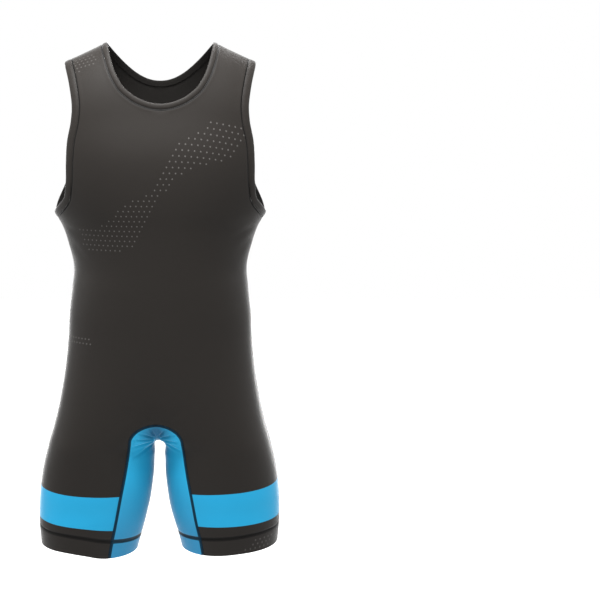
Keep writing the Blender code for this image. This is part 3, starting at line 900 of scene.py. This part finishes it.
def knitFinish(name, colour, face=None, seamThreadAndShade=True, foldShadeAndLowTone=None, sheen=knit["sheen"]):
    finish = Finish(name, {
        "Roughness": knit["roughness"], "Sheen Weight": sheen,
        "Sheen Roughness": knit["sheenRoughness"], "Specular IOR Level": knit["specular"],
    })
    around, height, _ = finish.parts(finish.node("ShaderNodeUVMap", {"uv_map": "cut"}, {}))
    paint = colour
    if foldShadeAndLowTone:  # painted shade where the folds meet under the arch, and darker towards the hem
        aboveFoldShadeCentre = height - foldShadeAndLowTone["height"]
        away = (around * around + aboveFoldShadeCentre * aboveFoldShadeCentre).root()
        paintedFoldShade = (foldShadeAndLowTone["full"] - away / foldShadeAndLowTone["reach"]).clamped()
        paint = finish.mixed(paintedFoldShade, paint, foldShadeAndLowTone["paintedFoldShade"])
        lower = ((foldShadeAndLowTone["lowFrom"] - height) / foldShadeAndLowTone["lowOver"]).clamped()
        paint = finish.mixed(lower, paint, foldShadeAndLowTone["low"])
    if face:  # the print of the front or of the back
        paint = finish.mixed(dotMask(finish, face), paint, knit["dotGrey"])
        for band, *edges in bands[face]:
            paint = finish.mixed(bandMask(height, around, *edges), paint, knit[band])
    # a dark line along each seam: covering thread, and painted groove shade along the hems and binding seams
    if seamThreadAndShade:
        cover = ((knit["threadAndShadeWidth"] - finish.measure("seamAway")) / knit["threadAndShadeSoft"] + 0.5).clamped()
        paint = finish.mixed(cover * knit["threadAndShadeShare"], paint, knit["cover"])
    cloudy = (finish.noise(*knit["cloudNoise"]) * knit["cloudShare"]).clamped()
    worn = finish.mixed(cloudy, paint, finish.mixed(1.0, paint, knit["cloudTint"], "MULTIPLY"))
    finish.feed(finish.surface.inputs["Base Color"], worn)
    rough = finish.noise(*knit["unevenNoise"]) * knit["uneven"] + (knit["roughness"] - knit["uneven"] / 2)
    finish.feed(finish.surface.inputs["Roughness"], rough)
    ribs = (around * (2 * math.pi / knit["rib"])).sine()
    courses = (height * (2 * math.pi / knit["course"]) + ribs * knit["courseWave"]).sine()
    fine = finish.bump(ribs * knit["relief"][0] + courses * knit["relief"][1], *knit["fineBump"])
    coarse = finish.bump(finish.noise(*knit["softNoise"]), *knit["softBump"], fine)
    finish.feed(finish.surface.inputs["Normal"], coarse)
    return finish.material


threads = {
    "roughness": 0.8,
    "specular": 0.05,
    "twists": 900.0,
    "bump": (0.3, 0.00012),  # strength and distance
    "sides": 5,
    "rings": 3,
    "taper": 0.9,  # how much a stitch narrows to its ends
    "taperRate": 1.8,
    "sink": 0.35,  # share of its arch that a stitch lies in the cloth
    "arch": 1.6,  # height of its arch, in radii
    "lift": 0.5,  # height over the cloth, in radii
    "from": 0.1,  # where it starts and ends, in pitches
    "to": 0.95,
    "aim": 0.0012,  # how far ahead and behind its way is read
    "flatlock": {"pitch": 0.0032, "radius": 0.00021, "lines": (-0.0021, -0.0007, 0.0007, 0.0021),
                 "cover": 0.0021},
    "cover": {"pitch": 0.0034, "radius": 0.0002, "lines": (-0.0013, 0.0013), "cover": 0.0},
}


def threadFinish(name, dark, light):
    finish = Finish(name, {"Roughness": threads["roughness"], "Specular IOR Level": threads["specular"]})
    twist = finish.node("ShaderNodeTexWave", {"bands_direction": "DIAGONAL"},
                        {"Vector": finish.place(), "Scale": threads["twists"], "Distortion": 1.0})
    finish.feed(finish.surface.inputs["Base Color"], finish.mixed(twist * 0.5, dark, light))
    finish.feed(finish.surface.inputs["Normal"], finish.bump(twist, *threads["bump"]))
    return finish.material


charcoalFront = knitFinish("charcoal_front_knit", knit["charcoal"], front)
charcoalBack = knitFinish("charcoal_back_knit", knit["backCharcoal"], back)
insideKnit = knitFinish("charcoal_inside_knit", knit["inside"], seamThreadAndShade=False, sheen=knit["innerSheen"])
# the gusset's blue, with painted shade in the gathers under the arch and darker towards the hem
gussetKnit = knitFinish("blue_gusset_knit", knit["gussetBlue"], foldShadeAndLowTone={
    "height": -0.68, "reach": 0.026, "full": 1.3, "paintedFoldShade": knit["gussetFoldShade"],
    "lowFrom": -0.76, "lowOver": 0.13, "low": knit["gussetLow"],
})
gussetInside = knitFinish("blue_gusset_inside_knit", knit["blueInside"], seamThreadAndShade=False)
bindingKnit = knitFinish("charcoal_binding_knit", knit["charcoal"], seamThreadAndShade=False, sheen=knit["bindingSheen"])
seamThread = threadFinish("seam_thread", knit["thread"], knit["threadLight"])
inseamThread = threadFinish("inseam_thread", knit["inseamThread"], knit["inseamThreadLight"])
print("materials made")

# Panels
panels = {
    "cloth": 0.0008,
    "upper": 0.05,  # only cloth this far above the hem shows which way is out
    # piece, node, slot, creases, and the flat size and area of its sheet
    front: ("front_cloth", "front_panel", "front_cloth", "panels", (0.56, 0.975), 0.365),
    back: ("back_cloth", "back_panel", "back_cloth", "panels", (0.58, 0.975), 0.391),
    "gusset": ("gusset_cloth", "inseam_panel", "inseam_cloth", "gusset", (0.21, 0.56), 0.082),
}


def makePanel(rows, materials, name, node, slot, creased, flat, area):
    mesh = clothMesh(name, turnedUp(rows), True)
    faceOut(mesh, vectorsOf(mesh)[:, 2] > suit["hem"] + panels["upper"])
    piece = finishCloth(mesh, materials, panels["cloth"], creased)
    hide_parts(node)
    print(name, "made")


makePanel(panelRows(front), (charcoalFront, insideKnit), *panels[front])
makePanel(panelRows(back), (charcoalBack, insideKnit), *panels[back])
makePanel(gussetRows(), (gussetKnit, gussetInside), *panels["gusset"])

# Bindings: a strip folded round the cloth's raw edge, from its outer seam over the fold and back inside
binding = {
    "neckWidth": 0.0098,
    "armholeWidth": 0.0138,
    "neckFlat": (0.77, 0.021),
    "armholeFlat": (0.76, 0.029),
    "cloth": 0.0007,
    "innerFrom": 0.0009,  # deeper than this it shows the darker inside
    "ripple": 0.00006,
    "ripplePitch": 0.0095,
    "ripples": ((1.0, 1.0, 0.0), (0.7, 0.37, 1.0)),  # size, rate and shift
    "section": (  # share of the width, and height over the cloth in millimetres
        (0.0, -0.55), (0.05, -0.26), (0.11, 0.06), (0.18, 0.36), (0.27, 0.64), (0.38, 0.84), (0.52, 0.92),
        (0.66, 0.88), (0.79, 0.7), (0.89, 0.42), (0.955, 0.06), (0.99, -0.36), (1.0, -0.7),
        (0.985, -1.05), (0.94, -1.36), (0.86, -1.56), (0.72, -1.68), (0.5, -1.72), (0.28, -1.72),
        (0.08, -1.7), (-0.1, -1.68),
    ),
}


def bandRows(seam, width, closed, outwards):
    along = np.roll(seam, -1, axis=0) - np.roll(seam, 1, axis=0)
    if not closed:
        along[0] = (1.0, 0.0, 0.0)
        along[-1] = (-1.0, 0.0, 0.0)
    across = unit(np.cross(formSlope(seam), along)) * outwards
    ripple = waves(lengths(seam) / binding["ripplePitch"] * 2 * math.pi, binding["ripples"])
    ripple *= binding["ripple"]
    rows = []
    for share, height in binding["section"]:
        place = ontoForm(seam + across * width * share)
        lift = height * 0.001 + ripple * math.sin(math.pi * min(share, 1.0))
        rows.append(place + unit(formSlope(place)) * np.reshape(lift, (-1, 1)))
    return np.array(rows)


def makeBand(name, rows, mirrored, node):
    mesh = clothMesh(name, rows, mirrored)
    if node.endswith("right"):
        mesh.vertices.foreach_set("co", (vectorsOf(mesh) * mirrorImage).ravel())
        mesh.flip_normals()
    faceOut(mesh, formValue(vectorsOf(mesh)) > 0.0)
    middles = np.array([face.center for face in mesh.polygons])
    inner = formValue(middles + unit(formSlope(middles)) * binding["innerFrom"]) < 0.0
    piece = finishCloth(mesh, (bindingKnit, insideKnit), binding["cloth"])
    mesh.polygons.foreach_set("material_index", inner.astype(np.int32))
    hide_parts(node)
    print(name, "made")


armholeRing = evenly(seams["armhole"], layout["bandStep"])[:-1]
armholeRows = bandRows(armholeRing, binding["armholeWidth"], True, -1)
armholeRows = np.concatenate([armholeRows, armholeRows[:, :1]], axis=1)
for side in ("left", "right"):
    makeBand("armhole_binding_" + side, armholeRows, False, "armhole_band_" + side)
neckRows = bandRows(evenly(seams["neck"], layout["bandStep"]), binding["neckWidth"], False, 1)
neckRows[:, 0, 0] = neckRows[:, -1, 0] = 0.0
makeBand("neck_binding", neckRows, True, "neck_band")


def stitchShape():  # one stitch along Z, a unit long, tapering into the cloth at both ends
    shape = bmesh.new()
    bmesh.ops.create_cone(shape, cap_ends=True, segments=threads["sides"], radius1=1, radius2=1, depth=1)
    long = [edge for edge in shape.edges if abs(edge.verts[0].co.z - edge.verts[1].co.z) > 0.5]
    bmesh.ops.subdivide_edges(shape, edges=long, cuts=threads["rings"])
    bmesh.ops.triangulate(shape, faces=shape.faces)
    shape.verts.ensure_lookup_table()
    points = np.array([vert.co for vert in shape.verts])
    faces = np.array([[vert.index for vert in face.verts] for face in shape.faces])
    shape.free()
    return points, faces


def stitchMesh(name, starts, ends, normals, radius):  # a seam's stitches, joined
    points, shapeFaces = stitchShape()
    run = ends - starts
    length = np.linalg.norm(run, axis=1, keepdims=True)
    run = run / length
    side = unit(np.cross(run, normals))
    up = np.cross(side, run)
    taper = np.sqrt(1 - (threads["taperRate"] * points[:, 2]) ** 2 * threads["taper"]) * radius
    arch = (1 - (2 * points[:, 2]) ** 2 - threads["sink"]) * radius * threads["arch"]
    places = (
        ((starts + ends) / 2)[:, None]
        + side[:, None] * (points[:, 0] * taper)[None, :, None]
        + up[:, None] * (points[:, 1] * taper + arch)[None, :, None]
        + run[:, None] * length[:, None] * points[:, 2][None, :, None]
    )
    faces = (shapeFaces[None] + (np.arange(len(starts)) * len(points))[:, None, None]).reshape(-1, 3)
    mesh = bpy.data.meshes.new(name)
    mesh.from_pydata(leaned(places.reshape(-1, 3)).tolist(), [], faces.tolist())
    mesh.shade_smooth()
    return mesh


def acrossMiddle(line):  # a seam that meets its mirror image on the middle line, whole
    return evenly(joined(line, line * mirrorImage))


def stitchesAlong(line, look, mirrored):
    total, pitch, cover = lengths(line)[-1], look["pitch"], look["cover"]
    steps = np.arange(int(total / pitch)) * pitch

    def placed(share, offset):
        places = steps + share * pitch
        centre = resample(line, places)
        normal = unit(formSlope(centre))
        before = resample(line, np.maximum(places - threads["aim"], 0))
        way = unit(resample(line, np.minimum(places + threads["aim"], total)) - before)
        out = ontoForm(centre + unit(np.cross(way, normal)) * offset)
        return out + normal * (seamShape(out)[:, None] + look["radius"] * threads["lift"]), normal

    paths = [(threads["from"], threads["to"], offset, offset) for offset in look["lines"]]
    if cover:  # the thread that crosses from line to line and back
        paths += [(0.0, 0.5, cover, -cover), (0.5, 1.0, -cover, cover)]
    sewn = []
    for begin, stop, fromSide, toSide in paths:
        start, normal = placed(begin, fromSide)
        sewn.append((start, placed(stop, toSide)[0], normal))
    runs = [np.concatenate(part) for part in zip(*sewn)]
    return [np.concatenate([part, part * mirrorImage]) for part in runs] if mirrored else runs


def sew(name, lines, look, thread, whole=False):
    runs = [acrossMiddle(seams[line]) if whole else seams[line] for line in lines]
    sewn = [stitchesAlong(run, look, not whole) for run in runs]
    mesh = stitchMesh(name, *(np.concatenate(part) for part in zip(*sewn)), look["radius"])
    mesh.materials.append(thread)
    piece = newObject(name, mesh)
    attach(piece, "root")
    print(name, len(mesh.polygons), "triangles")


sew("inseam_stitches", ("inseamFront", "inseamBack"), threads["flatlock"], inseamThread,
    True)
sew("side_stitches", ("side", "shoulder"), threads["flatlock"], seamThread)
sew("hem_stitches", ("hemFront", "hemBack", "hemGusset"), threads["cover"], seamThread)
sew("armhole_stitches", ("armhole",), threads["cover"], seamThread)
sew("neck_stitches", ("neck",), threads["cover"], seamThread, True)

# Studio
studio = {
    "floorHeight": -1.75,
    "floorSize": 9.0,
    "floor": {"Base Color": (0.9, 0.9, 0.9, 1.0), "Roughness": 0.9,
              "Emission Color": (1.0, 1.0, 1.0, 1.0), "Emission Strength": 0.4},
    "world": {"Color": (1.0, 1.0, 1.0, 1.0), "Strength": 1.0},
    "lights": (  # name, place, aim, size, power
        ("key", (-0.1, -0.53, 0.93), (0, 0, -0.17), 0.6, 86.0),
        ("fill", (-1.2, -2.4, 0.3), (0, 0, -0.5), 1.8, 2.0),
        ("backKey", (0.2, 0.55, 0.95), (0, 0, -0.15), 0.6, 20.0),
        ("rimLeft", (2.2, 0.25, 0.2), (0, 0, -0.35), 1.0, 22.0),
        ("rimRight", (-2.2, 0.25, 0.2), (0, 0, -0.35), 1.0, 28.0),
    ),
}


def makeStudio():
    floor = bmesh.new()
    bmesh.ops.create_grid(floor, x_segments=1, y_segments=1, size=studio["floorSize"])
    bmesh.ops.translate(floor, verts=floor.verts, vec=(0, 0, studio["floorHeight"]))
    ground = newObject("floor", meshFrom("floor", floor))
    ground.data.materials.append(Finish("floor_white", studio["floor"]).material)
    world = bpy.data.worlds.new("studio")
    world.use_nodes = True
    for socket, value in studio["world"].items():
        world.node_tree.nodes["Background"].inputs[socket].default_value = value
    bpy.context.scene.world = world
    for name, place, aim, size, power in studio["lights"]:
        lamp = newObject(name, bpy.data.lights.new(name, "AREA"))
        lamp.data.shape = "DISK"
        lamp.data.size = size
        lamp.data.energy = power
        turn = (Vector(aim) - Vector(place)).to_track_quat("-Z", "Y").to_matrix().to_4x4()
        lamp.matrix_world = Matrix.Translation(place) @ turn


makeStudio()

# Camera, at the photograph's place; the suit stands left of the middle of its frame
view = {"place": (0.0, -2.1775, -0.1392), "pitch": 8.2, "lens": 72.93, "sensor": 36.0, "shift": 0.2328}
camera = newObject("camera", bpy.data.cameras.new("camera"))
camera.data.sensor_width = view["sensor"]
camera.data.lens = view["lens"]
camera.data.shift_x = view["shift"]
camera.location = view["place"]
camera.rotation_euler = (math.radians(90.0 - view["pitch"]), 0.0, 0.0)
bpy.context.scene.camera = camera
bpy.context.scene.view_settings.view_transform = "Standard"
